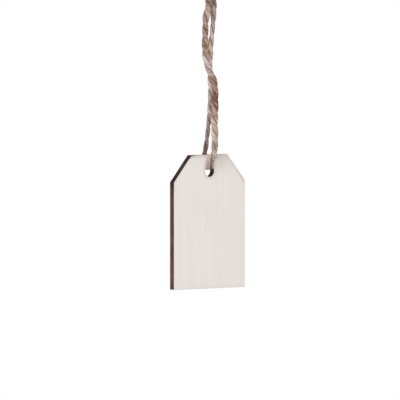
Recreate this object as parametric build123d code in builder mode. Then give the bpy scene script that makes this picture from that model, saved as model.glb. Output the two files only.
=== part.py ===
# Wooden gift tag hanging on a loop of two-ply twine.
# Millimetres. +Z is up, +X runs along the tag's width and the tag's front face looks towards -Y.
# The origin is the top of the hanging eye, on the underside of the knot that closes the twine.
import os
from math import radians, sqrt, tan

from build123d import *

# Tag board
tag_width = 40.0
tag_height = 59.4
face_veneer_thickness = 0.8
core_veneer_thickness = 1.4
corner_clip_width = 9.9
corner_clip_height = 11.8
hole_diameter = 5.0
hole_below_top = 7.3

# Twine
twine_diameter = 2.0
twine_sides = 12
hole_gap = 0.5  # twine to the upper wall of the hole
face_gap = 0.5  # twine to the faces of the tag
strand_gap = 0.6  # between the two strands at the eye
moving_gap = 0.3  # between stretches that turn against each other
hole_fold_radius = twine_diameter  # the twine folds over the edge of the hole
hole_fold_leg = 0.5  # straight stretch after the fold
bend_share = 0.45  # part of the shorter run that a bend may use

# Heights of the hanging stretches, from the knot down
eye_height = 22.0
upper_twine_height = 18.0
lower_twine_height = 62.0

# Eye, knot and tails
eye_half_width = 4.7
eye_neck = 4.0
sway_cap_height = 0.9  # tapered end that turns inside the moving gap
sway_cap_taper = 35.0
knot_gap = 0.52  # between the strands in the knot
tail_neck = 2.4
gap_samples = 240  # points for measuring the gaps in the knot

# Values that follow
twine_radius = twine_diameter / 2
tag_thickness = 2 * face_veneer_thickness + core_veneer_thickness
strand_offset = (twine_diameter + strand_gap) / 2
knot_spacing = twine_diameter + knot_gap
knot_offset = knot_spacing * sqrt(0.5)
face_offset = tag_thickness / 2 + face_gap + twine_radius
bight_rise = hole_diameter / 2 - hole_gap - twine_radius
sway_z = -eye_height
twist_z = sway_z - upper_twine_height
hole_z = twist_z - lower_twine_height
tag_top_z = hole_z + hole_below_top
fold_end_rise = bight_rise + hole_fold_radius + hole_fold_leg
eye_foot_z = sway_z + twine_radius + moving_gap
eye_middle_z = eye_foot_z / 2

# Twine routes beside the tag and above it: x, y and the height over the hole.
# The strands lie on either side of the board and make half a turn round each other above it.
front_route = [
    (0.0, -face_offset, 4.6),
    (1.6, -face_offset, 8.4),
    (1.9, -face_offset, 15.0),
    (2.0, -2.8, 25.0),
    (2.5, -3.0, 35.0),
    (2.2, -2.6, 40.5),
    (-1.6, -0.3, 47.5),
    (-1.3, 0.6, 56.0),
]
back_route = [
    (0.0, face_offset, 7.5),
    (1.9, 2.8, 15.0),
    (1.8, 0.9, 25.0),
    (1.9, 0.0, 35.0),
    (1.8, 0.8, 43.0),
    (1.8, -0.3, 56.0),
]
upper_left_route = [(-1.3, 0.6, 6.0), (-0.3, -0.3, 12.0)]  # heights over the twist
upper_right_route = [(1.8, -0.3, 6.0), (2.6, -1.2, 12.0)]
tail_left_route = [(-2.9, -0.8, 5.6), (-4.2, -2.3, 8.6)]  # heights over the knot
tail_right_route = [(3.2, 0.6, 5.4), (5.4, 0.8, 7.8)]

# One of the two strands of the knot: radius, angle and height, counted in strand spacings.
# It rises beside the other strand, turns over, goes round the core and comes up through its own turn.
core_radius = sqrt(0.5)
wrap_corner_radius = 1.84
wrap_start_angle = 283.0
wrap_start_height = 2.44
wrap_step = 45.0
wrap_corners = 6
wrap_pitch = 2.0
knot_rise = [
    (core_radius, 180, 0.0),
    (core_radius, 180, 0.64),
    (core_radius, 207, 1.83),
    (0.9, 227, 2.52),
    (1.48, 252, 2.7),
]
knot_wrap = [
    (
        wrap_corner_radius,
        wrap_start_angle + corner * wrap_step,
        wrap_start_height - wrap_pitch * corner * wrap_step / 360,
    )
    for corner in range(wrap_corners)
]
knot_exit = [
    (wrap_corner_radius, 550, 0.91),
    (1.5, 585, 0.64),
    (1.1, 614, 0.6),
    (0.75, 641, 1.04),
    (core_radius, 661, 1.91),
    (core_radius, 682, 2.87),
    (core_radius, 699, 3.58),
]

os.makedirs("parts", exist_ok=True)


def lift(points, foot_z):
    return [Vector(x, y, foot_z + rise) for x, y, rise in points]


def least_gap(route, other, apart=0.0):
    # Clear space between tubes on two routes, leaving out points less than apart from each other along one.
    step = route.length / gap_samples
    points = [route @ (i / gap_samples) for i in range(gap_samples + 1)]
    others = [other @ (i / gap_samples) for i in range(gap_samples + 1)]
    distances = [
        (point - near).length
        for i, point in enumerate(points)
        for j, near in enumerate(others)
        if abs(i - j) * step >= apart
    ]
    return min(distances) - twine_diameter


def bend_radii(points):
    # Each bend is as large as its two runs allow.
    radii = []
    for before, corner, after in zip(points, points[1:], points[2:]):
        run_in = corner - before
        run_out = after - corner
        half_turn = radians(run_in.get_angle(run_out)) / 2
        radii.append(bend_share * min(run_in.length, run_out.length) / tan(half_turn))
    return radii


def make_twine(name, points, radii=None, capped=False):
    # A tube along straight runs joined by tangent arcs, with a tapered cap on its upper end if asked.
    if radii is None:
        radii = bend_radii(points)
    with BuildPart() as twine:
        with BuildLine() as route:
            FilletPolyline(*points, radius=radii)
        with BuildSketch(Plane(origin=route.line @ 0, z_dir=route.line % 0)) as section:
            RegularPolygon(twine_radius, twine_sides)
        sweep()
        length = route.wire().length
        volume_ratio = twine.part.volume / (section.sketch.area * length)
        if capped:
            upper_end = twine.faces().sort_by(Axis.Z)[-1]
            extrude(upper_end, amount=sway_cap_height, taper=sway_cap_taper)
    print(f"{name}: length {length:.1f}, bend radii {[round(r, 1) for r in radii]}")
    print(f"{name}: volume over section times length {volume_ratio:.4f}")
    twine.part.label = name
    export_step(twine.part, f"parts/{name}.step")


# Board of three bonded sheets, all cut through to the same outline and hole
veneers = {
    "front_veneer": (-tag_thickness / 2, face_veneer_thickness),
    "core_veneer": (-core_veneer_thickness / 2, core_veneer_thickness),
    "back_veneer": (core_veneer_thickness / 2, face_veneer_thickness),
}
for name, (front_y, thickness) in veneers.items():
    with BuildPart() as veneer:
        with BuildSketch(Plane.XZ.offset(-front_y)):
            with BuildLine():
                Polyline(
                    (0, tag_top_z - tag_height),
                    (tag_width / 2, tag_top_z - tag_height),
                    (tag_width / 2, tag_top_z - corner_clip_height),
                    (tag_width / 2 - corner_clip_width, tag_top_z),
                    (0, tag_top_z),
                )
                mirror(about=Plane.YZ)
            make_face()
            with Locations((0, hole_z)):
                Circle(hole_diameter / 2, mode=Mode.SUBTRACT)
        extrude(amount=-thickness)
    veneer.part.label = name
    export_step(veneer.part, f"parts/{name}.step")

# Twine through the hole: down the front, folded through the board and up behind it
bight_points = [
    Vector(0, -face_offset, hole_z + fold_end_rise),
    Vector(0, -face_offset, hole_z + bight_rise),
    Vector(0, face_offset, hole_z + bight_rise),
    Vector(0, face_offset, hole_z + fold_end_rise),
]
make_twine("hole_bight", bight_points, [hole_fold_radius, hole_fold_radius])

# The two strands over the board, cut level where the twine twists
strands = {
    "front_strand": (bight_points[0], lift(front_route, hole_z)),
    "back_strand": (bight_points[-1], lift(back_route, hole_z)),
}
for name, (foot, points) in strands.items():
    top = Vector(points[-1].X, points[-1].Y, twist_z - moving_gap / 2)
    make_twine(name, [foot, *points, top])

# The two strands between the twist and the eye, tapered where they sway under it
upper_strands = {
    "upper_strand_left": (-strand_offset, lift(upper_left_route, twist_z)),
    "upper_strand_right": (strand_offset, lift(upper_right_route, twist_z)),
}
for name, (x, points) in upper_strands.items():
    foot = Vector(points[0].X, points[0].Y, twist_z + moving_gap / 2)
    pivot = Vector(x, 0, sway_z)
    make_twine(name, [foot, *points, pivot], capped=True)

# Hanging eye under the knot
for name, side in {"eye_strand_left": -1, "eye_strand_right": 1}.items():
    neck_x = side * strand_offset
    eye_points = [
        Vector(neck_x, 0, eye_foot_z),
        Vector(neck_x, 0, eye_foot_z + eye_neck),
        Vector(side * eye_half_width, 0, eye_middle_z),
        Vector(side * knot_offset, 0, -eye_neck),
        Vector(side * knot_offset, 0, 0),
    ]
    make_twine(name, eye_points)

# Knot: both strands follow one route, half a turn apart
knot_points = [
    Vector(radius * knot_spacing, 0, height * knot_spacing).rotate(Axis.Z, angle)
    for radius, angle, height in knot_rise + knot_wrap + knot_exit
]
knot_radii = bend_radii(knot_points)
with BuildPart() as knot:
    with BuildLine() as knot_route:
        FilletPolyline(*knot_points, radius=knot_radii)
    with BuildSketch(Plane(origin=knot_route.line @ 0, z_dir=knot_route.line % 0)):
        RegularPolygon(twine_radius, twine_sides)
    sweep()
    add(knot.part.rotate(Axis.Z, 180))
knot_wire = knot_route.wire()
self_gap = least_gap(knot_wire, knot_wire, apart=3 * twine_diameter)
pair_gap = least_gap(knot_wire, knot_wire.rotate(Axis.Z, 180))
print(f"knot: length of each strand {knot_wire.length:.1f}, bend radii {[round(r, 1) for r in knot_radii]}")
print(f"knot: least gap of a strand to itself {self_gap:.2f}, to the other {pair_gap:.2f}")
knot.part.label = "knot"
export_step(knot.part, "parts/knot.step")

# Cut tails over the knot, each straight on from the strand that it ends
tails = {"tail_right": (0, tail_right_route), "tail_left": (180, tail_left_route)}
for name, (turn, tail_route) in tails.items():
    foot = knot_points[-1].rotate(Axis.Z, turn)
    run = (foot - knot_points[-2].rotate(Axis.Z, turn)).normalized()
    make_twine(name, [foot, foot + run * tail_neck, *lift(tail_route, foot.Z)])
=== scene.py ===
import math
import random

import bmesh
import bpy
import numpy as np
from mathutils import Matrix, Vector, geometry, noise


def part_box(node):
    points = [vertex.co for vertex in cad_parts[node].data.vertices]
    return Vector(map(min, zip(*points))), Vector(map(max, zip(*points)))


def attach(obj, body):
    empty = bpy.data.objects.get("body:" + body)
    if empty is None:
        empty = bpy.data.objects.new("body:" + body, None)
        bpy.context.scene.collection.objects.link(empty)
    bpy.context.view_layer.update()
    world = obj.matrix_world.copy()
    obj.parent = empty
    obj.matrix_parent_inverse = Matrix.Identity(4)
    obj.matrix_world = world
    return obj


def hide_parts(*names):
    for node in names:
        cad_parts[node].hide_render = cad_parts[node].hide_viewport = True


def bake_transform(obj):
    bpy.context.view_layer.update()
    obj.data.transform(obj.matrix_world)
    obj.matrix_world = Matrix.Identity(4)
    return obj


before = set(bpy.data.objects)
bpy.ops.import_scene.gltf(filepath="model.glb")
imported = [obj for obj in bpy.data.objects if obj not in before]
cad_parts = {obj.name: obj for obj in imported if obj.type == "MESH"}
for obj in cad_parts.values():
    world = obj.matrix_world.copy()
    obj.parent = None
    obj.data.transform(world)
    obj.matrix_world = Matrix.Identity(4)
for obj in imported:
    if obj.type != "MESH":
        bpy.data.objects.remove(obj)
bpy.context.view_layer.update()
scene = bpy.context.scene
scene.view_settings.view_transform = "Standard"
print("frame loaded with", len(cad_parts), "nodes")

# Shared places, in metres
mm = 0.001
sheetLow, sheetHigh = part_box("front_veneer")
coreLow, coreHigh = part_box("core_veneer")
backLow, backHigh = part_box("back_veneer")
holeBelowTop = 0.0073
holeZ = sheetHigh.z - holeBelowTop
twistZ = -0.040  # where the hanging twine turns


# Camera, from the picture's angle
photoView = {
    "azimuth": -38.0,  # degrees round the tag
    "elevation": 2.8,
    "distance": 5.0,
    "frameWidth": 0.1776,  # what the picture spans at the tag
    "aimLeft": 0.00333,  # middle of the picture from the tag's axis
    "aimBelowHole": 0.0129,
}


def lookFrom(azimuth, elevation):
    turn, tilt = math.radians(azimuth), math.radians(elevation)
    return Vector((math.sin(turn) * math.cos(tilt), -math.cos(turn) * math.cos(tilt), math.sin(tilt)))


def addCamera(view):
    back = lookFrom(view["azimuth"], view["elevation"])
    right = lookFrom(view["azimuth"] + 90.0, 0.0)
    aim = Vector((0.0, 0.0, holeZ - view["aimBelowHole"])) - right * view["aimLeft"]
    data = bpy.data.cameras.new("photoCamera")
    data.sensor_width = 36.0
    data.lens = data.sensor_width * view["distance"] / view["frameWidth"]
    data.clip_end = 100.0
    camera = bpy.data.objects.new("photoCamera", data)
    camera.location = aim + back * view["distance"]
    camera.rotation_euler = (-back).to_track_quat("-Z", "Y").to_euler()
    scene.collection.objects.link(camera)
    scene.camera = camera


addCamera(photoView)
print("camera placed")


# Node helpers
def colour(red, green, blue):
    # screen values from 0 to 255, as the shader reads them
    shares = [value / 255 for value in (red, green, blue)]
    linear = [s / 12.92 if s <= 0.04045 else ((s + 0.055) / 1.055) ** 2.4 for s in shares]
    return (*linear, 1.0)


def plug(tree, socket, value):
    if isinstance(value, bpy.types.NodeSocket):
        tree.links.new(value, socket)
    else:
        socket.default_value = value


def addNode(tree, kind, inputs=None, **settings):
    made = tree.nodes.new(kind)
    made.location = (len(tree.nodes) * 190.0 - 2400.0, (len(tree.nodes) % 4) * -170.0)
    for name, value in settings.items():
        setattr(made, name, value)
    for name, value in (inputs or {}).items():
        plug(tree, made.inputs[name], value)
    return made


def newGroup(name, inputs, outputs):
    group = bpy.data.node_groups.new(name, "ShaderNodeTree")
    for socketName, (kind, value) in inputs.items():
        socket = group.interface.new_socket(socketName, in_out="INPUT", socket_type=kind)
        socket.default_value = value
    for socketName, kind in outputs.items():
        group.interface.new_socket(socketName, in_out="OUTPUT", socket_type=kind)
    return group, addNode(group, "NodeGroupInput").outputs, addNode(group, "NodeGroupOutput").inputs


def useGroup(tree, group, inputs):
    made = addNode(tree, "ShaderNodeGroup", node_tree=group)
    for name, value in inputs.items():
        plug(tree, made.inputs[name], value)
    return made.outputs


def mixColours(tree, share, first, second):
    made = addNode(tree, "ShaderNodeMix", data_type="RGBA")
    for socket, value in zip((made.inputs[0], made.inputs[6], made.inputs[7]), (share, first, second)):
        plug(tree, socket, value)
    return made.outputs[2]


def calculate(tree, operation, first, second=0.0):
    made = addNode(tree, "ShaderNodeMath", operation=operation)
    for socket, value in zip(made.inputs, (first, second)):
        plug(tree, socket, value)
    return made.outputs[0]


def ease(tree, value, low, high, toLow=0.0, toHigh=1.0):
    limits = {"Value": value, "From Min": low, "From Max": high, "To Min": toLow, "To Max": toHigh}
    return addNode(tree, "ShaderNodeMapRange", limits, interpolation_type="SMOOTHSTEP").outputs["Result"]


def readAttribute(tree, name, output="Fac"):
    return addNode(tree, "ShaderNodeAttribute", attribute_name=name).outputs[output]


def inMillimetres(tree):
    place = addNode(tree, "ShaderNodeTexCoord").outputs["Object"]
    return addNode(tree, "ShaderNodeMapping", {"Vector": place, "Scale": (1 / mm, 1 / mm, 1 / mm)}).outputs[0]


def lengthOf(tree, place, scale, shift=(0.0, 0.0, 0.0)):
    moved = addNode(tree, "ShaderNodeMapping", {"Vector": place, "Scale": scale, "Location": shift})
    made = addNode(tree, "ShaderNodeVectorMath", operation="LENGTH")
    plug(tree, made.inputs[0], moved.outputs[0])
    return made.outputs["Value"]


def addNoise(tree, place, scale, detail):
    look = {"Vector": place, "Scale": scale, "Detail": detail}
    return addNode(tree, "ShaderNodeTexNoise", look).outputs[0]


def addBump(tree, shader, height, finish):
    relief = {"Strength": finish["bump"], "Distance": finish["bumpDepth"], "Height": height}
    plug(tree, shader.inputs["Normal"], addNode(tree, "ShaderNodeBump", relief).outputs[0])


def newMaterial(name):
    material = bpy.data.materials.new(name)
    material.use_nodes = True
    tree = material.node_tree
    tree.nodes.clear()
    shader = addNode(tree, "ShaderNodeBsdfPrincipled")
    shader.location = (900.0, 0.0)
    output = addNode(tree, "ShaderNodeOutputMaterial", {"Surface": shader.outputs["BSDF"]})
    output.location = (1250.0, 0.0)
    return material, tree, shader


# Streaks along Z, for wood grain and for the fibres of the twine. Coordinates in millimetres.
streakLook = {
    "fineScale": 3.3,  # how many times finer the fine streaks are
    "detail": (3.0, 4.0),  # of the broad streaks and the fine ones
    "broadRange": (0.28, 0.72),  # part of the noise that is spread from 0 to 1
    "fineRange": (0.3, 0.7),
}


def streakGroup(look):
    group, given, put = newGroup(
        "grainStreaks",
        {
            "Vector": ("NodeSocketVector", (0.0, 0.0, 0.0)),
            "Across": ("NodeSocketFloat", 1.0),
            "Along": ("NodeSocketFloat", 0.1),
        },
        {"Streaks": "NodeSocketFloat", "Fine": "NodeSocketFloat"},
    )
    across, along = given["Across"], given["Along"]
    scales = addNode(group, "ShaderNodeCombineXYZ", {"X": across, "Y": across, "Z": along})
    stretched = addNode(group, "ShaderNodeVectorMath", operation="MULTIPLY")
    plug(group, stretched.inputs[0], given["Vector"])
    plug(group, stretched.inputs[1], scales.outputs[0])
    broadDetail, fineDetail = look["detail"]
    broad = addNoise(group, stretched.outputs[0], 1.0, broadDetail)
    fine = addNoise(group, stretched.outputs[0], look["fineScale"], fineDetail)
    plug(group, put["Streaks"], ease(group, broad, *look["broadRange"]))
    plug(group, put["Fine"], ease(group, fine, *look["fineRange"]))
    return group


# Heat of the laser cut: a smoky stain first, then brown, then char
scorchLook = {
    "toast": colour(202, 189, 182),
    "brown": colour(100, 68, 61),
    "char": colour(36, 24, 22),
    "toastFrom": (0.02, 0.3),  # burn where a colour starts and where it is full
    "brownFrom": (0.35, 0.7),
    "charFrom": (0.65, 1.0),
    "roughFrom": (0.1, 1.0),
    "roughness": (0.62, 0.9),
}


def scorchGroup(look):
    group, given, put = newGroup(
        "scorch",
        {
            "Color": ("NodeSocketColor", (0.8, 0.8, 0.8, 1.0)),
            "Toast": ("NodeSocketColor", look["toast"]),
            "Brown": ("NodeSocketColor", look["brown"]),
            "Char": ("NodeSocketColor", look["char"]),
            "Burn": ("NodeSocketFloat", 0.0),
        },
        {"Color": "NodeSocketColor", "Roughness": "NodeSocketFloat"},
    )
    burn = given["Burn"]
    toasted = mixColours(group, ease(group, burn, *look["toastFrom"]), given["Color"], given["Toast"])
    browned = mixColours(group, ease(group, burn, *look["brownFrom"]), toasted, given["Brown"])
    charred = mixColours(group, ease(group, burn, *look["charFrom"]), browned, given["Char"])
    plug(group, put["Color"], charred)
    plug(group, put["Roughness"], ease(group, burn, *look["roughFrom"], *look["roughness"]))
    return group


grainStreaks = streakGroup(streakLook)
scorch = scorchGroup(scorchLook)


def useStreaks(tree, place, scale):
    across, along = scale
    return useGroup(tree, grainStreaks, {"Vector": place, "Across": across, "Along": along})


def finishWood(tree, shader, burnt, height, finish):
    scorched = useGroup(tree, scorch, burnt)
    plug(tree, shader.inputs["Base Color"], scorched["Color"])
    plug(tree, shader.inputs["Roughness"], scorched["Roughness"])
    plug(tree, shader.inputs["Specular IOR Level"], finish["gloss"])
    addBump(tree, shader, height, finish)


faceFinish = {
    "pale": colour(228, 223, 220),
    "figure": colour(219, 213, 208),
    "pore": colour(205, 193, 183),
    "poreShare": 0.3,
    "poreRange": (0.7, 1.0),
    "poreScale": (2.6, 0.14),  # streaks on each millimetre, across the grain and along it
    "figureScale": (0.32, 0.018),
    "figureShare": 0.7,
    "ringWidth": 3.4,  # millimetres between the soft bands of the figure
    "ringMiddle": (4.0, 0.0, 8.0),
    "ringStretch": 0.07,  # bands are drawn out along the grain
    "ringWaver": 3.0,
    "ringPatches": 0.035,  # bands come and go in patches
    "ringShare": (0.2, 0.8),
    "rimBurn": 0.66,  # the rim of the face is browned, not charred
    "rimUneven": (0.75, 1.1),
    "topDarkeningAt": (7.0, sheetHigh.z / mm),  # x and z of the middle of a soft, pale brown darkening under the top edge, in millimetres
    "topDarkeningReach": (13.0, 17.0),
    "topDarkeningBurn": 0.19,
    "topDarkeningOnRim": 0.5,  # share of the rim's own burn that the soft darkening adds to
    "bump": 0.25,
    "bumpDepth": 0.00008,
    "gloss": 0.3,
}


def faceWoodMaterial(finish):
    material, tree, shader = newMaterial("faceWood")
    place = inMillimetres(tree)
    figure = useStreaks(tree, place, finish["figureScale"])
    pores = useStreaks(tree, place, finish["poreScale"])
    arch = {"Vector": place, "Scale": (1.0, 1.0, finish["ringStretch"]), "Location": finish["ringMiddle"]}
    bands = addNode(
        tree,
        "ShaderNodeTexWave",
        {
            "Vector": addNode(tree, "ShaderNodeMapping", arch).outputs[0],
            "Scale": 1.0 / finish["ringWidth"],
            "Distortion": finish["ringWaver"],
            "Detail": 1.0,
        },
        wave_type="RINGS",
        rings_direction="Y",
    )
    patches = ease(tree, addNoise(tree, place, finish["ringPatches"], 1.0), 0.35, 0.65, *finish["ringShare"])
    rings = calculate(tree, "MULTIPLY", bands.outputs["Fac"], patches)
    streaks = calculate(tree, "MULTIPLY", figure["Streaks"], finish["figureShare"])
    shade = calculate(tree, "MAXIMUM", rings, streaks)
    base = mixColours(tree, shade, finish["pale"], finish["figure"])
    poreMask = ease(tree, pores["Fine"], *finish["poreRange"], 0.0, finish["poreShare"])
    grained = mixColours(tree, poreMask, base, finish["pore"])
    # the rim's burn, and a soft brown darkening under the top edge, right of the twine, that shows less on
    # the rim than on the bare face
    (topDarkeningX, topDarkeningZ), (reachX, reachZ) = finish["topDarkeningAt"], finish["topDarkeningReach"]
    toTopDarkening = (-topDarkeningX / reachX, 0.0, -topDarkeningZ / reachZ)
    fromTopDarkening = lengthOf(tree, place, (1 / reachX, 0.0, 1 / reachZ), toTopDarkening)
    topDarkening = ease(tree, fromTopDarkening, 0.0, 1.0, finish["topDarkeningBurn"], 0.0)
    rim = readAttribute(tree, "burn")
    topDarkeningAndRim = calculate(tree, "ADD", topDarkening, calculate(tree, "MULTIPLY", rim, finish["topDarkeningOnRim"]))
    uneven = ease(tree, pores["Streaks"], 0.0, 1.0, *finish["rimUneven"])
    burn = calculate(tree, "MULTIPLY", calculate(tree, "MAXIMUM", rim, topDarkeningAndRim), uneven)
    burn = calculate(tree, "MINIMUM", burn, finish["rimBurn"])
    finishWood(tree, shader, {"Color": grained, "Burn": burn}, pores["Fine"], finish)
    return material


faceEdgeFinish = {
    "longSides": 0.71,  # burn of the long sides, which are browned
    "otherSides": 0.94,  # burn of cuts across the grain, which are nearly black
    "sideRange": (0.1, 0.7),  # how far a cut leans from a long side to another one
    "beamMarks": (2.4, 0.35),  # marks of the beam on each millimetre, along the cut and through the board
    "markBurn": (-0.05, 0.05),
    "patchScale": 0.16,
    "patchBurn": (-0.05, 0.05),
    "glueAt": 0.7,  # millimetres from the middle of the board
    "glueWidth": 0.09,
    "glueBurn": 0.13,
    "bump": 0.5,
    "bumpDepth": 0.0001,
    "gloss": 0.25,
}
# the grain of the core lies across the board
coreEdgeFinish = {**faceEdgeFinish, "longSides": 0.785, "otherSides": 0.92}


def cutEdgeMaterial(name, finish):
    material, tree, shader = newMaterial(name)
    place = inMillimetres(tree)
    # the beam's marks and the sheets lie by depth into the board
    turned = addNode(tree, "ShaderNodeMapping", {"Vector": place, "Rotation": (math.pi / 2, 0.0, 0.0)})
    marks = useStreaks(tree, turned.outputs[0], finish["beamMarks"])
    depth = addNode(tree, "ShaderNodeSeparateXYZ", {"Vector": place}).outputs["Y"]
    fromMiddle = calculate(tree, "ABSOLUTE", depth)
    fromGlue = calculate(tree, "ABSOLUTE", calculate(tree, "SUBTRACT", fromMiddle, finish["glueAt"]))
    glue = ease(tree, fromGlue, 0.0, finish["glueWidth"], finish["glueBurn"], 0.0)
    patches = addNoise(tree, place, finish["patchScale"], 2.0)
    normal = addNode(tree, "ShaderNodeTexCoord").outputs["Normal"]
    facing = addNode(tree, "ShaderNodeSeparateXYZ", {"Vector": normal})
    upright = calculate(tree, "ABSOLUTE", facing.outputs["Z"])
    burn = ease(tree, upright, *finish["sideRange"], finish["longSides"], finish["otherSides"])
    burn = calculate(tree, "MULTIPLY", burn, readAttribute(tree, "burn"))
    burn = calculate(tree, "ADD", burn, ease(tree, marks["Streaks"], 0.0, 1.0, *finish["markBurn"]))
    burn = calculate(tree, "ADD", burn, ease(tree, patches, 0.3, 0.7, *finish["patchBurn"]))
    burn = calculate(tree, "ADD", burn, glue)
    finishWood(tree, shader, {"Burn": burn}, marks["Streaks"], finish)
    return material


juteFinish = {
    "dark": colour(62, 44, 36),
    "shade": colour(104, 78, 62),
    "brown": colour(152, 125, 109),
    "tan": colour(187, 162, 146),
    "pale": colour(220, 200, 186),
    "stops": ((0.333, "shade"), (0.533, "brown"), (0.747, "tan")),  # on the way from dark to pale
    "levels": (-0.5, 1.0),  # tones that are dark and pale
    "strandScale": (2.4, 0.12),  # streaks on each millimetre, across the fibres and along them
    "strandTone": (0.02, 0.47),
    "fibreScale": (6.5, 0.3),
    "fibreTone": (0.0, 0.5),
    "lengthScale": 0.22,  # lighter and darker lengths of the twine
    "lengthTone": (-0.12, 0.12),
    "greyUneven": (0.6, 1.2),
    "saturation": (1.55, 0.45),  # of the warmest lengths and the greyest
    "mauve": colour(160, 143, 147),
    "mauveShare": 0.4,
    # colour, share and reach of painted shade in the crevice between the plies
    "creviceShade": colour(84, 58, 46),
    "creviceShadeShare": 0.5,
    "creviceShadeRange": (0.15, 0.6),
    "roughness": (0.74, 0.94),
    "bump": 0.6,
    "bumpDepth": 0.0001,
    "gloss": 0.2,
    "sheen": 0.15,
}


def juteMaterial(finish):
    material, tree, shader = newMaterial("juteTwine")
    place = readAttribute(tree, "fibreSpace", "Vector")
    strands = useStreaks(tree, place, finish["strandScale"])
    fibres = useStreaks(tree, place, finish["fibreScale"])
    lengths = addNoise(tree, place, finish["lengthScale"], 2.0)
    level = ease(tree, strands["Streaks"], 0.0, 1.0, *finish["strandTone"])
    level = calculate(tree, "ADD", level, ease(tree, fibres["Streaks"], 0.0, 1.0, *finish["fibreTone"]))
    level = calculate(tree, "ADD", level, ease(tree, lengths, 0.3, 0.7, *finish["lengthTone"]))
    # tone along the twine, which holds painted light and shade in places
    level = calculate(tree, "ADD", level, readAttribute(tree, "toneAndShading"))
    darkLevel, paleLevel = finish["levels"]
    limits = {"Value": level, "From Min": darkLevel, "From Max": paleLevel}
    paleness = addNode(tree, "ShaderNodeMapRange", limits).outputs["Result"]
    ramp = addNode(tree, "ShaderNodeValToRGB", {"Fac": paleness})
    stops = ramp.color_ramp.elements
    stops[0].position, stops[0].color = 0.0, finish["dark"]
    stops[1].position, stops[1].color = 1.0, finish["pale"]
    for position, name in finish["stops"]:
        stops.new(position).color = finish[name]
    uneven = ease(tree, lengths, 0.3, 0.7, *finish["greyUneven"])
    grey = calculate(tree, "MULTIPLY", readAttribute(tree, "grey"), uneven)
    strength = ease(tree, grey, -1.0, 1.0, *finish["saturation"])
    dyed = addNode(tree, "ShaderNodeHueSaturation", {"Saturation": strength, "Color": ramp.outputs[0]})
    tint = ease(tree, grey, 0.0, 1.0, 0.0, finish["mauveShare"])
    tinted = mixColours(tree, tint, dyed.outputs[0], finish["mauve"])
    # painted shade: the fibres darken towards the crevice between the plies
    creviceShadeMask = ease(tree, readAttribute(tree, "depth"), *finish["creviceShadeRange"], finish["creviceShadeShare"], 0.0)
    plug(tree, shader.inputs["Base Color"], mixColours(tree, creviceShadeMask, tinted, finish["creviceShade"]))
    plug(tree, shader.inputs["Roughness"], ease(tree, fibres["Fine"], 0.0, 1.0, *finish["roughness"]))
    plug(tree, shader.inputs["Specular IOR Level"], finish["gloss"])
    plug(tree, shader.inputs["Sheen Weight"], finish["sheen"])
    addBump(tree, shader, calculate(tree, "ADD", strands["Fine"], fibres["Streaks"]), finish)
    return material


faceWood = faceWoodMaterial(faceFinish)
faceEdge = cutEdgeMaterial("faceSheetEdge", faceEdgeFinish)
coreEdge = cutEdgeMaterial("coreSheetEdge", coreEdgeFinish)
juteTwine = juteMaterial(juteFinish)
print("materials made")


def addObject(name, mesh, *materials):
    made = bpy.data.objects.new(name, mesh)
    scene.collection.objects.link(made)
    for material in materials:
        mesh.materials.append(material)
    return made


# Tag board: three sheets with the laser's scorch round every cut
board = {
    "cornerClip": (0.0099, 0.0118),
    "holeRadius": 0.0025,
    "holeSegments": 72,
    "holeBurnAndShade": 1.12,  # the hole's wall is the darkest cut: charred, and partly painted shade inside the hole
    "edgeStep": 0.0011,  # spacing of points on the outline
    "softEdge": 0.00012,  # outer edge, rounded off
    # distance from a cut and the burn of the face there
    "stainSteps": ((0.00012, 0.3), (0.0005, 0.25), (0.001, 0.18), (0.0016, 0.1), (0.0022, 0.0)),
    "stainShares": (0.3, 0.2, 0.7, 1.0, 0.25, 0.12),  # bottom, right, clip, top, clip, left
    "cutShares": (1.0, 1.0, 0.95, 0.72, 1.0, 1.0),
    "brinkShares": (1.0, 1.0, 0.8, 0.42, 1.0, 1.0),  # the same cuts, where they meet the face
    # which corner is smoky, how strongly, how far along its edges and how many times less inwards
    "smokyCorners": ((4, 1.9, 0.0018, 3.0), (5, 0.26, 0.0045, 1.0), (2, 0.26, 0.0045, 1.0)),
    "holeStain": 0.7,
}


def outlineCorners(inset):
    # corners of the tag, moved in by inset
    halfWidth = sheetHigh.x
    clipWidth, clipHeight = board["cornerClip"]
    corners = [
        Vector((-halfWidth, sheetLow.z)),
        Vector((halfWidth, sheetLow.z)),
        Vector((halfWidth, sheetHigh.z - clipHeight)),
        Vector((halfWidth - clipWidth, sheetHigh.z)),
        Vector((-halfWidth + clipWidth, sheetHigh.z)),
        Vector((-halfWidth, sheetHigh.z - clipHeight)),
    ]
    moved = []
    for i, corner in enumerate(corners):
        before = (corner - corners[i - 1]).normalized()
        after = (corners[(i + 1) % len(corners)] - corner).normalized()
        inward = Vector((-before.y, before.x)) + Vector((-after.y, after.x))
        moved.append(corner + inward * (inset / (1 + before.dot(after))))
    return moved


def outlineRing(inset, shares):
    # points with the share of burn on their edge, and more of it where smoke stained a corner
    edges = outlineCorners(0.0)
    corners = outlineCorners(inset)
    ring = []
    for i, corner in enumerate(corners):
        following = (i + 1) % len(corners)
        steps = max(2, round((edges[following] - edges[i]).length / board["edgeStep"]))
        ring.append((corner, max(shares[i - 1], shares[i])))
        ring += [(corner.lerp(corners[following], j / steps), shares[i]) for j in range(1, steps)]
    for smoky, strength, reach, narrower in board["smokyCorners"]:
        for i, (point, share) in enumerate(ring):
            away = ((point - corners[smoky]).length ** 2 + (inset * narrower) ** 2) / reach ** 2
            ring[i] = (point, share + strength * math.exp(-away))
    return ring


def holeRing(radius, share):
    count = board["holeSegments"]
    angles = [2 * math.pi * i / count for i in range(count)]
    return [(Vector((radius * math.cos(a), holeZ + radius * math.sin(a))), share) for a in angles]


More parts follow.
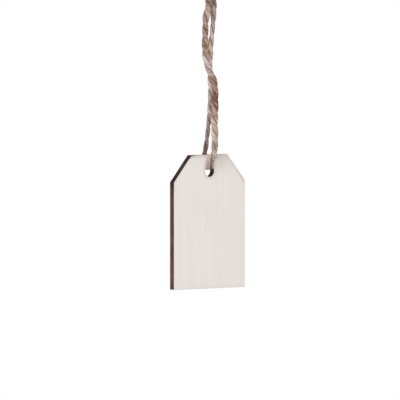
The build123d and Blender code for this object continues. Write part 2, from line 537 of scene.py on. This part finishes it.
def makeSheet(name, node, outerY, innerY, edgeMaterial, softened):
    mesh = bpy.data.meshes.new(name)
    work = bmesh.new()
    burn = work.verts.layers.float.new("burn")
    outward = 1.0 if outerY > innerY else -1.0

    def addRings(inset, y, value, shares, holeShare):
        # one ring of points on the outline and one round the hole
        rings = []
        for points in (outlineRing(inset, shares), holeRing(board["holeRadius"] + inset, holeShare)):
            ring = [work.verts.new((point.x, y, point.y)) for point, share in points]
            for vert, (point, share) in zip(ring, points):
                vert[burn] = value * share
            rings.append(ring)
        return rings

    def joinRings(first, second, materialIndex, smooth):
        for i in range(len(first)):
            j = (i + 1) % len(first)
            face = work.faces.new((first[i], first[j], second[j], second[i]))
            face.material_index = materialIndex
            face.smooth = smooth

    def fillBetween(outline, hole):
        verts = outline + hole
        places = [Vector((vert.co.x, vert.co.z)) / mm for vert in verts]
        edges = [(i, (i + 1) % len(outline)) for i in range(len(outline))]
        edges += [(len(outline) + i, len(outline) + (i + 1) % len(hole)) for i in range(len(hole))]
        found = geometry.delaunay_2d_cdt(places, edges, [], 2, 0.00001)
        for triangle in found[2]:
            corners = [found[3][i][0] for i in triangle]
            if min(corners) < len(outline):
                work.faces.new([verts[i] for i in corners])

    softEdge = board["softEdge"] if softened else 0.0
    inner = addRings(0.0, innerY, 1.0, board["cutShares"], board["holeBurnAndShade"])
    brink = board["brinkShares"] if softened else board["cutShares"]
    outer = addRings(0.0, outerY - outward * softEdge, 1.0, brink, board["holeBurnAndShade"])
    fillBetween(*inner)
    joinRings(inner[0], outer[0], 1, False)
    joinRings(inner[1], outer[1], 1, True)
    for inset, value in board["stainSteps"] if softened else ():
        following = addRings(inset, outerY, value, board["stainShares"], board["holeStain"])
        for first, second in zip(outer, following):
            joinRings(first, second, 0, False)
        outer = following
    fillBetween(*outer)
    bmesh.ops.recalc_face_normals(work, faces=work.faces)
    work.to_mesh(mesh)
    work.free()
    sheet = addObject(name, mesh, faceWood, edgeMaterial)
    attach(sheet, "tag")
    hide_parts(node)


makeSheet("front_sheet", "front_veneer", sheetLow.y, sheetHigh.y, faceEdge, True)
makeSheet("core_sheet", "core_veneer", coreLow.y, coreHigh.y, coreEdge, False)
makeSheet("back_sheet", "back_veneer", backHigh.y, backLow.y, faceEdge, True)
print("tag sheets made")


# Twine: one length, from the right tail through knot, eye and hole to the left tail
twine = {
    "diameter": 0.002,
    "layLength": 0.0116,  # one whole turn of the two plies
    "fibreTurn": 0.009,  # one turn of the fibres in a ply
    # in ply radii, where the plies are twisted and where they lie side by side at the hole
    "plySpread": (0.8, 0.96),  # ply centres from the middle
    "plyWide": (0.88, 1.15),  # twisted plies are pressed flat against each other
    "plyThick": (1.2, 1.0),
    "plyPressed": 0.05,  # taken off the side towards the other ply
    "plyToneAndShade": (-0.07, 0.07),  # one ply is darker than the other, twice as much where they lie side by side at the hole; there the darker ply on the right is painted shade and the lighter one on the left painted light
    "frontPly": 0.00085,  # ply radii
    "holePly": 0.00082,
    "backPly": 0.00068,
    "upperPly": 0.00071,
    "sides": 18,
    "ringStep": 0.00028,
    "flatLength": 0.0035,  # the plies lie side by side this far from the hole
    "flatEase": 0.0036,
    "ridge": 0.09,  # unevenness of a ply, in ply radii
    "ridgeScale": (2.6, 0.14),  # round the ply, and on each millimetre along it
    "slub": 0.1,
    "slubScale": 0.11,
}

# Routes in metres: x, y and the height over the hole, the twist or the knot. After them comes the finish:
# how light the fibres are, with painted shade in places, how grey (below nought, how warm) and how thick the
# plies.
frontRoute = [
    (0.0015, -0.0028, 0.0074, 0.1, 0.1),
    (0.0018, -0.0030, 0.0110, 0.06, 0.1),
    (0.0018, -0.0030, 0.0160, 0.14, 0.1, 1.13),
    (0.0016, -0.0029, 0.0208, 0.34, 0.0, 1.1),
    # the darker tones where the front strand lies against the back strand are partly painted shade between
    # the strands
    (0.0019, -0.0028, 0.0255, -0.17, -0.3, 1.12),
    (0.00225, -0.0030, 0.0340, -0.42, -0.35),
    (0.0019, -0.0026, 0.0405, -0.2, -0.2),
    (-0.0012, -0.0003, 0.0475, 0.5, 0.7, 0.96),
    (-0.0010, 0.0005, 0.0550, -0.34, -0.1, 1.08),
    (-0.0009, 0.0004, 0.0625, -0.18, 0.12, 0.94),
]
holeRoute = [
    (-0.0003, -0.0024, 0.0050, 0.02, 0.35),
    # painted shade: the twine is darker where it turns into the hole at the front
    (-0.0005, -0.0024, 0.0012, -0.28, 0.35),
    (-0.0003, 0.0, 0.0016, -0.1, 0.3),
    (0.0, 0.0025, 0.0012, -0.1, 0.5),
    (0.0002, 0.0026, 0.0050, -0.2, 0.6),
]
backRoute = [
    # painted shade: the back strand is darkest near the tag, behind it
    (0.0006, 0.0028, 0.0080, -0.8, -0.05),
    (0.0014, 0.0028, 0.0108, -0.28, 0.45, 0.95),
    (0.0019, 0.0027, 0.0150, -0.44, 0.75, 0.8),
    (0.00195, 0.0009, 0.0250, -0.08, 0.45, 1.02),
    (0.0020, -0.0001, 0.0350, 0.1, 0.2, 1.1),
    (0.0018, 0.0008, 0.0430, 0.15, 0.25),
    (0.0017, 0.0, 0.0550, 0.22, -0.15, 1.1),
    (0.0022, -0.0006, 0.0625, 0.04, 0.3, 0.94),
]
upperLeftRoute = [
    (-0.0008, 0.0003, 0.0060, -0.02, 0.1, 1.06),
    (-0.0003, -0.0005, 0.0090, -0.16, 0.1, 1.3),
    (0.0006, -0.0012, 0.0120, -0.22, 0.1, 1.2),
    (-0.0013, 0.0, 0.0180, 0.0, 0.2),
]
upperRightRoute = [
    (0.0024, -0.0012, 0.0060, -0.14, 0.5, 1.03),
    (0.0025, -0.00105, 0.0090, -0.22, 0.3, 1.18),
    (0.0032, -0.0009, 0.0120, -0.22, 0.1, 1.2),
    (0.0013, 0.0, 0.0180, 0.0, 0.2),
]
eyeRoute = [
    (0.0013, 0.0, -0.0167),
    (0.0047, 0.0, -0.01035),
    (0.00178, 0.0, -0.0040),
    (0.00178, 0.0, 0.0),
]
tailLeftRoute = [(-0.0029, -0.0008, 0.0056), (-0.0042, -0.0023, 0.0086)]
tailRightRoute = [(0.0032, 0.0006, 0.0054), (0.0054, 0.0008, 0.0078)]

# One strand of the knot: radius, angle and height, counted in strand spacings
knot = {"spacing": 0.00252, "core": math.sqrt(0.5), "wrap": 1.84, "wrapCorners": 6, "wrapStep": 45.0}
knotRise = [
    (knot["core"], 180, 0.64),
    (knot["core"], 207, 1.83),
    (0.9, 227, 2.52),
    (1.48, 252, 2.7),
]
knotWrap = [
    (knot["wrap"], 283 + knot["wrapStep"] * i, 2.44 - 2.0 * knot["wrapStep"] * i / 360)
    for i in range(knot["wrapCorners"])
]
knotExit = [
    (knot["wrap"], 550, 0.91),
    (1.5, 585, 0.64),
    (1.1, 614, 0.6),
    (0.75, 641, 1.04),
    (knot["core"], 661, 1.91),
    (knot["core"], 682, 2.87),
    (knot["core"], 699, 3.58),
]


def knotPoints(turn):
    points = []
    for radius, angle, height in knotRise + knotWrap + knotExit:
        around = math.radians(angle + turn)
        reach = radius * knot["spacing"]
        points.append((reach * math.cos(around), reach * math.sin(around), height * knot["spacing"]))
    return points


def lift(points, footZ):
    return [(x, y, footZ + rise, *finish) for x, y, rise, *finish in points]


leftKnot, rightKnot = knotPoints(0.0), knotPoints(180.0)
leftEye = [(-x, y, z) for x, y, z in eyeRoute]
knotTopZ = leftKnot[-1][2]
# every stretch in order, with its ply radius
stretches = [
    (lift(tailRightRoute, knotTopZ)[::-1], twine["upperPly"]),
    (leftKnot[::-1], twine["upperPly"]),
    (leftEye[::-1], twine["upperPly"]),
    (lift(upperLeftRoute, twistZ)[::-1], twine["frontPly"]),
    (lift(frontRoute, holeZ)[::-1], twine["frontPly"]),
    (lift(holeRoute, holeZ), twine["holePly"]),
    (lift(backRoute, holeZ), twine["backPly"]),
    (lift(upperRightRoute, twistZ), twine["backPly"]),
    (eyeRoute, twine["upperPly"]),
    (rightKnot, twine["upperPly"]),
    (lift(tailLeftRoute, knotTopZ), twine["upperPly"]),
]


def splinePoints(name, places):
    curve = bpy.data.curves.new(name, "CURVE")
    curve.dimensions = "3D"
    curve.resolution_u = 24
    spline = curve.splines.new("NURBS")
    spline.points.add(len(places) - 1)
    for point, place in zip(spline.points, places):
        point.co = (*place, 1.0)
    spline.order_u = 3
    spline.use_endpoint_u = True
    holder = bpy.data.objects.new(name, curve)
    mesh = bpy.data.meshes.new_from_object(holder)
    found = np.array([vert.co for vert in mesh.vertices])
    bpy.data.meshes.remove(mesh)
    bpy.data.objects.remove(holder)
    bpy.data.curves.remove(curve)
    return found


def unit(vectors):
    return vectors / np.linalg.norm(vectors, axis=1, keepdims=True)


def layTwine():
    # the twine's line with its frame, the turn of the plies and their finish, one row for each ring
    places, finishes = [], []
    for points, ply in stretches:
        for x, y, z, *finish in points:
            places.append((x, y, z))
            toneAndShading, grey, swell = (*finish, *(0.0, 0.2, 1.0)[len(finish):])
            finishes.append((ply * swell, toneAndShading, grey))
    route = splinePoints("twineRoute", places)
    profile = splinePoints("twineProfile", finishes)
    along = np.concatenate([[0.0], np.cumsum(np.linalg.norm(np.diff(route, axis=0), axis=1))])
    at = np.linspace(0.0, along[-1], round(along[-1] / twine["ringStep"]) + 1)
    line = np.stack([np.interp(at, along, route[:, k]) for k in range(3)], axis=1)
    ply, toneAndShading, grey = (np.interp(at, along, profile[:, k]) for k in range(3))
    tangent = unit(np.gradient(line, axis=0))
    normal = np.zeros_like(line)
    normal[0] = unit(np.cross(tangent[:1], (0.0, 1.0, 0.0)))[0]
    for i in range(1, len(line)):
        moved = normal[i - 1] - tangent[i] * normal[i - 1].dot(tangent[i])
        normal[i] = moved / np.linalg.norm(moved)
    side = np.cross(tangent, normal)
    inHole = int(np.abs(line - np.array((0.0, 0.0, holeZ))).sum(axis=1).argmin())
    rate = np.clip((np.abs(at - at[inHole]) - twine["flatLength"]) / twine["flatEase"], 0.0, 1.0)
    rate = rate * rate * (3 - 2 * rate)
    turn = np.concatenate([[0.0], np.cumsum((rate[1:] + rate[:-1]) / 2 * np.diff(at))])
    turn = -2 * math.pi * (turn - turn[inHole]) / twine["layLength"]
    # the first ply, which is the darker, lies on the right at the hole
    turn += math.atan2(side[inHole][0], normal[inHole][0])
    return {
        "at": at, "line": line, "normal": normal, "side": side, "turn": turn, "flat": 1.0 - rate,
        "ply": ply, "toneAndShading": toneAndShading, "grey": grey, "inHole": inHole,
    }


laid = layTwine()
print("twine laid, length", round(float(laid["at"][-1]), 4))


def plyRings(k):
    # rings of one ply, with fibre coordinates in millimetres and how far out of the crevice each point is,
    # which sets the painted shade in the crevice
    angle = laid["turn"] + math.pi * k
    outward = np.cos(angle)[:, None] * laid["normal"] + np.sin(angle)[:, None] * laid["side"]
    spread, wide, thick = (
        twisted + (flat - twisted) * laid["flat"]
        for twisted, flat in (twine["plySpread"], twine["plyWide"], twine["plyThick"])
    )
    centre = laid["line"] + outward * (laid["ply"] * spread)[:, None]
    run = unit(np.gradient(centre, axis=0))
    across = unit(outward - run * (outward * run).sum(axis=1, keepdims=True))
    beside = np.cross(run, across)
    sides = twine["sides"]
    ridgesRound, ridgesAlong = twine["ridgeScale"]
    places = np.zeros((len(centre), sides, 3))
    fibre = np.zeros_like(places)
    depth = np.zeros((len(centre), sides))
    for i, s in enumerate(laid["at"] / mm):
        # the numbers with k keep the patterns of the two plies apart
        slub = twine["slub"] * noise.noise(Vector((s * twine["slubScale"], 17.0 * k, 3.0)))
        for j in range(sides):
            around = 2 * math.pi * j / sides
            outwards, sideways = math.cos(around), math.sin(around)
            own = around + 2 * math.pi * s * mm / twine["fibreTurn"]
            ownX, ownY = math.cos(own), math.sin(own)
            pattern = Vector((ownX * ridgesRound, ownY * ridgesRound, s * ridgesAlong + 31.0 * k))
            uneven = slub + twine["ridge"] * noise.noise(pattern)
            pressed = max(0.0, -outwards) ** 2  # towards the other ply, where it is even
            radius = laid["ply"][i] * (1.0 + uneven * (1.0 - pressed) - twine["plyPressed"] * pressed)
            reach = across[i] * (outwards * radius * wide[i]) + beside[i] * (sideways * radius * thick[i])
            places[i, j] = centre[i] + reach
            fibre[i, j] = (ownX * radius / mm + 9.0 * k, ownY * radius / mm, s)
            depth[i, j] = (1.0 + outwards) / 2
    # painted light and shade: where the plies lie flat at the hole, the right ply is darkened and the left
    # one lightened
    toneAndShading = laid["toneAndShading"] + twine["plyToneAndShade"][k] * (1.0 + laid["flat"])
    return {"centre": centre, "run": run, "places": places, "fibre": fibre, "depth": depth, "toneAndShading": toneAndShading}


plies = [plyRings(0), plyRings(1)]
print("plies made")

# Stray fibres, thinner towards their ends
fuzz = {
    "perMillimetre": 3.0,
    "length": (0.0006, 0.0021),
    "radius": 0.000028,
    "rings": 5,
    "sides": 3,
    "taper": 0.19,  # share of the radius lost from ring to ring
    "curl": 0.3,
    "lean": (0.5, 1.0),  # along the ply, either way
    "rise": (0.15, 0.8),  # away from the ply
    "rootDepth": 0.00008,
    "leastDepth": 0.4,  # none grow deeper in the crevice
    "lighter": 0.12,
    "frayed": 70,  # fibres at each cut end
    "frayLength": (0.0006, 0.0024),
    "frayFrom": (0.1, 0.95),  # from the middle of the ply to its rim
    "frayRise": (0.0, 0.5),
    "frayDepth": 0.0002,
    "frayThicker": 1.4,
    "seed": 11,
}
chance = random.Random(fuzz["seed"])


def growHair(root, direction, length, radius):
    place, direction = Vector(root), Vector(direction).normalized()
    points = []
    for n in range(fuzz["rings"]):
        across = direction.orthogonal().normalized()
        beside = direction.cross(across)
        reach = radius * (1.0 - fuzz["taper"] * n)
        for j in range(fuzz["sides"]):
            around = 2 * math.pi * j / fuzz["sides"]
            points.append(tuple(place + (across * math.cos(around) + beside * math.sin(around)) * reach))
        place = place + direction * (length / (fuzz["rings"] - 1))
        bend = Vector((chance.gauss(0, 1), chance.gauss(0, 1), chance.gauss(0, 1)))
        direction = (direction + bend * fuzz["curl"]).normalized()
    return points


def strayFibres(first, last):
    # hairs with the ply and the point that they take their colour from
    hairs = []
    span = laid["at"][last] - laid["at"][first]
    for n in range(round(span / mm * fuzz["perMillimetre"])):
        ply = plies[chance.randrange(2)]
        i, j = chance.randrange(first, last + 1), chance.randrange(twine["sides"])
        outward = Vector(ply["places"][i, j] - ply["centre"][i]).normalized()
        lean = chance.choice((-1, 1)) * chance.uniform(*fuzz["lean"])
        direction = outward * chance.uniform(*fuzz["rise"]) + Vector(ply["run"][i]) * lean
        root = Vector(ply["places"][i, j]) - outward * fuzz["rootDepth"]
        if ply["depth"][i, j] > fuzz["leastDepth"]:
            length = chance.uniform(*fuzz["length"])
            hairs.append((growHair(root, direction, length, fuzz["radius"]), ply, i, j))
    # a tuft where the twine is cut
    for end, sign in ((0, -1), (len(laid["at"]) - 1, 1)):
        for n in range(fuzz["frayed"] if end in (first, last) else 0):
            ply = plies[n % 2]
            j = chance.randrange(twine["sides"])
            outward = Vector(ply["places"][end, j] - ply["centre"][end])
            root = Vector(ply["centre"][end]) + outward * chance.uniform(*fuzz["frayFrom"])
            onward = Vector(ply["run"][end]) * sign
            direction = onward + outward.normalized() * chance.uniform(*fuzz["frayRise"])
            length = chance.uniform(*fuzz["frayLength"])
            root = root - onward * fuzz["frayDepth"]
            radius = fuzz["radius"] * fuzz["frayThicker"]
            hairs.append((growHair(root, direction, length, radius), ply, end, j))
    return hairs


def makeTwine(name, spans):
    # a mesh of the plies over spans of rings, closed at each end, with its stray fibres
    verts, faces, caps = [], [], []
    finish = {"fibreSpace": [], "depth": [], "toneAndShading": [], "grey": []}

    def addTube(points, sides):
        base = len(verts)
        verts.extend(points)
        rows = len(points) // sides
        for i in range(rows - 1):
            for j in range(sides):
                a, b = base + i * sides + j, base + i * sides + (j + 1) % sides
                faces.append((a, b, b + sides, a + sides))
        caps.extend((len(faces), len(faces) + 1))
        faces.append(tuple(base + j for j in reversed(range(sides))))
        faces.append(tuple(base + (rows - 1) * sides + j for j in range(sides)))

    for first, last in spans:
        rings = slice(first, last + 1)
        for ply in plies:
            addTube(ply["places"][rings].reshape(-1, 3).tolist(), twine["sides"])
            finish["fibreSpace"] += ply["fibre"][rings].ravel().tolist()
            finish["depth"] += ply["depth"][rings].ravel().tolist()
            finish["toneAndShading"] += np.repeat(ply["toneAndShading"][rings], twine["sides"]).tolist()
            finish["grey"] += np.repeat(laid["grey"][rings], twine["sides"]).tolist()
        for points, ply, i, j in strayFibres(first, last):
            addTube(points, fuzz["sides"])
            finish["fibreSpace"] += ply["fibre"][i, j].tolist() * len(points)
            finish["depth"] += [1.0] * len(points)
            finish["toneAndShading"] += [float(ply["toneAndShading"][i]) + fuzz["lighter"]] * len(points)
            finish["grey"] += [float(laid["grey"][i])] * len(points)
    mesh = bpy.data.meshes.new(name)
    mesh.from_pydata(verts, [], faces)
    mesh.polygons.foreach_set("use_smooth", [True] * len(faces))
    for cap in caps:
        for corner in mesh.polygons[cap].loop_indices:
            mesh.edges[mesh.loops[corner].edge_index].use_edge_sharp = True
    for attribute, values in finish.items():
        isVector = attribute == "fibreSpace"
        layer = mesh.attributes.new(attribute, "FLOAT_VECTOR" if isVector else "FLOAT", "POINT")
        layer.data.foreach_set("vector" if isVector else "value", values)
    mesh.update()
    made = addObject(name, mesh, juteTwine)
    return made


def ringNear(place, afterHole):
    distance = np.linalg.norm(laid["line"] - np.array(place[:3]), axis=1)
    rings = np.arange(len(distance))
    distance[(rings > laid["inHole"]) != afterHole] = 1.0
    return int(distance.argmin())


lastRing = len(laid["at"]) - 1
tailRightFoot = ringNear(leftKnot[-1], False)
knotLeftFoot = ringNear(leftEye[-1], False)
seamLeft = ringNear(lift(upperLeftRoute, twistZ)[0], False)
seamRight = ringNear(lift(upperRightRoute, twistZ)[0], True)
knotRightFoot = ringNear(eyeRoute[-1], True)
tailLeftFoot = ringNear(rightKnot[-1], True)

loop = makeTwine("hanging_loop", [(seamLeft, seamRight)])
leftStrand = makeTwine("left_eye_strand", [(knotLeftFoot, seamLeft)])
rightStrand = makeTwine("right_eye_strand", [(seamRight, knotRightFoot)])
knotTwine = makeTwine("knot_twine", [(tailRightFoot, knotLeftFoot), (knotRightFoot, tailLeftFoot)])
rightTail = makeTwine("right_tail", [(0, tailRightFoot)])
leftTail = makeTwine("left_tail", [(tailLeftFoot, lastRing)])

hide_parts("hole_bight", "front_strand", "back_strand")
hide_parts("upper_strand_left", "eye_strand_left")
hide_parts("upper_strand_right", "eye_strand_right")
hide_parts("knot")
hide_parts("tail_right")
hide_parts("tail_left")
for piece in (knotTwine, rightTail, leftTail):
    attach(piece, "hanger")
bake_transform(loop)
for piece in (leftStrand, rightStrand):
    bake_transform(piece)


print("twine made")


# Floor and light
studio = {
    "floorZ": -0.36,
    "floorRadius": 2.0,
    "floorSegments": 96,
    "floorFade": (0.15, 0.9),  # from here it fades, from there it is white
    "floorColour": colour(246, 245, 243),
    "floorRoughness": 0.9,
    "ambient": 0.7,
    "softKey": {"power": 6.3, "azimuth": -52.0, "elevation": 22.0},
    "softFill": {"power": 4.4, "azimuth": 150.0, "elevation": 22.0},
    "lampDistance": 1.1,
    "lampSize": 0.9,
}


def whereSeen(tree):
    # 1 on rays that show the white background, 0 on those that only light
    rays = addNode(tree, "ShaderNodeLightPath").outputs
    direct = calculate(tree, "MAXIMUM", rays["Is Camera Ray"], rays["Is Glossy Ray"])
    return calculate(tree, "MAXIMUM", direct, rays["Is Transmission Ray"])


def addFloor():
    mesh = bpy.data.meshes.new("floor")
    work = bmesh.new()
    segments, radius = studio["floorSegments"], studio["floorRadius"]
    bmesh.ops.create_circle(work, cap_ends=True, segments=segments, radius=radius)
    bmesh.ops.translate(work, verts=work.verts, vec=(0.0, 0.0, studio["floorZ"]))
    work.to_mesh(mesh)
    work.free()
    material, tree, shader = newMaterial("paleFloor")
    plug(tree, shader.inputs["Base Color"], studio["floorColour"])
    plug(tree, shader.inputs["Roughness"], studio["floorRoughness"])
    # the rim fades into the white background where it is seen
    place = addNode(tree, "ShaderNodeTexCoord").outputs["Object"]
    distance = lengthOf(tree, place, (1.0, 1.0, 0.0))
    fade = calculate(tree, "MULTIPLY", whereSeen(tree), ease(tree, distance, *studio["floorFade"]))
    white = addNode(tree, "ShaderNodeEmission", {"Color": (1.0, 1.0, 1.0, 1.0), "Strength": 1.0})
    faded = addNode(tree, "ShaderNodeMixShader", {"Fac": fade})
    tree.links.new(shader.outputs["BSDF"], faded.inputs[1])
    tree.links.new(white.outputs["Emission"], faded.inputs[2])
    tree.links.new(faded.outputs["Shader"], tree.nodes["Material Output"].inputs["Surface"])
    addObject("floor", mesh, material)


def addLamp(name):
    back = lookFrom(studio[name]["azimuth"], studio[name]["elevation"])
    data = bpy.data.lights.new(name, "AREA")
    data.energy = studio[name]["power"]
    data.shape = "DISK"
    data.size = studio["lampSize"]
    lamp = bpy.data.objects.new(name, data)
    lamp.location = Vector((0.0, 0.0, holeZ)) + back * studio["lampDistance"]
    lamp.rotation_euler = (-back).to_track_quat("-Z", "Y").to_euler()
    scene.collection.objects.link(lamp)


def addWorld():
    # white where it is seen, softer where it lights
    world = bpy.data.worlds.new("whiteStudio")
    world.use_nodes = True
    tree = world.node_tree
    tree.nodes.clear()
    strength = ease(tree, whereSeen(tree), 0.0, 1.0, studio["ambient"], 1.0)
    white = addNode(tree, "ShaderNodeBackground", {"Color": (1.0, 1.0, 1.0, 1.0), "Strength": strength})
    addNode(tree, "ShaderNodeOutputWorld", {"Surface": white.outputs[0]})
    scene.world = world


addFloor()
addLamp("softKey")
addLamp("softFill")
addWorld()
print("floor and light placed")
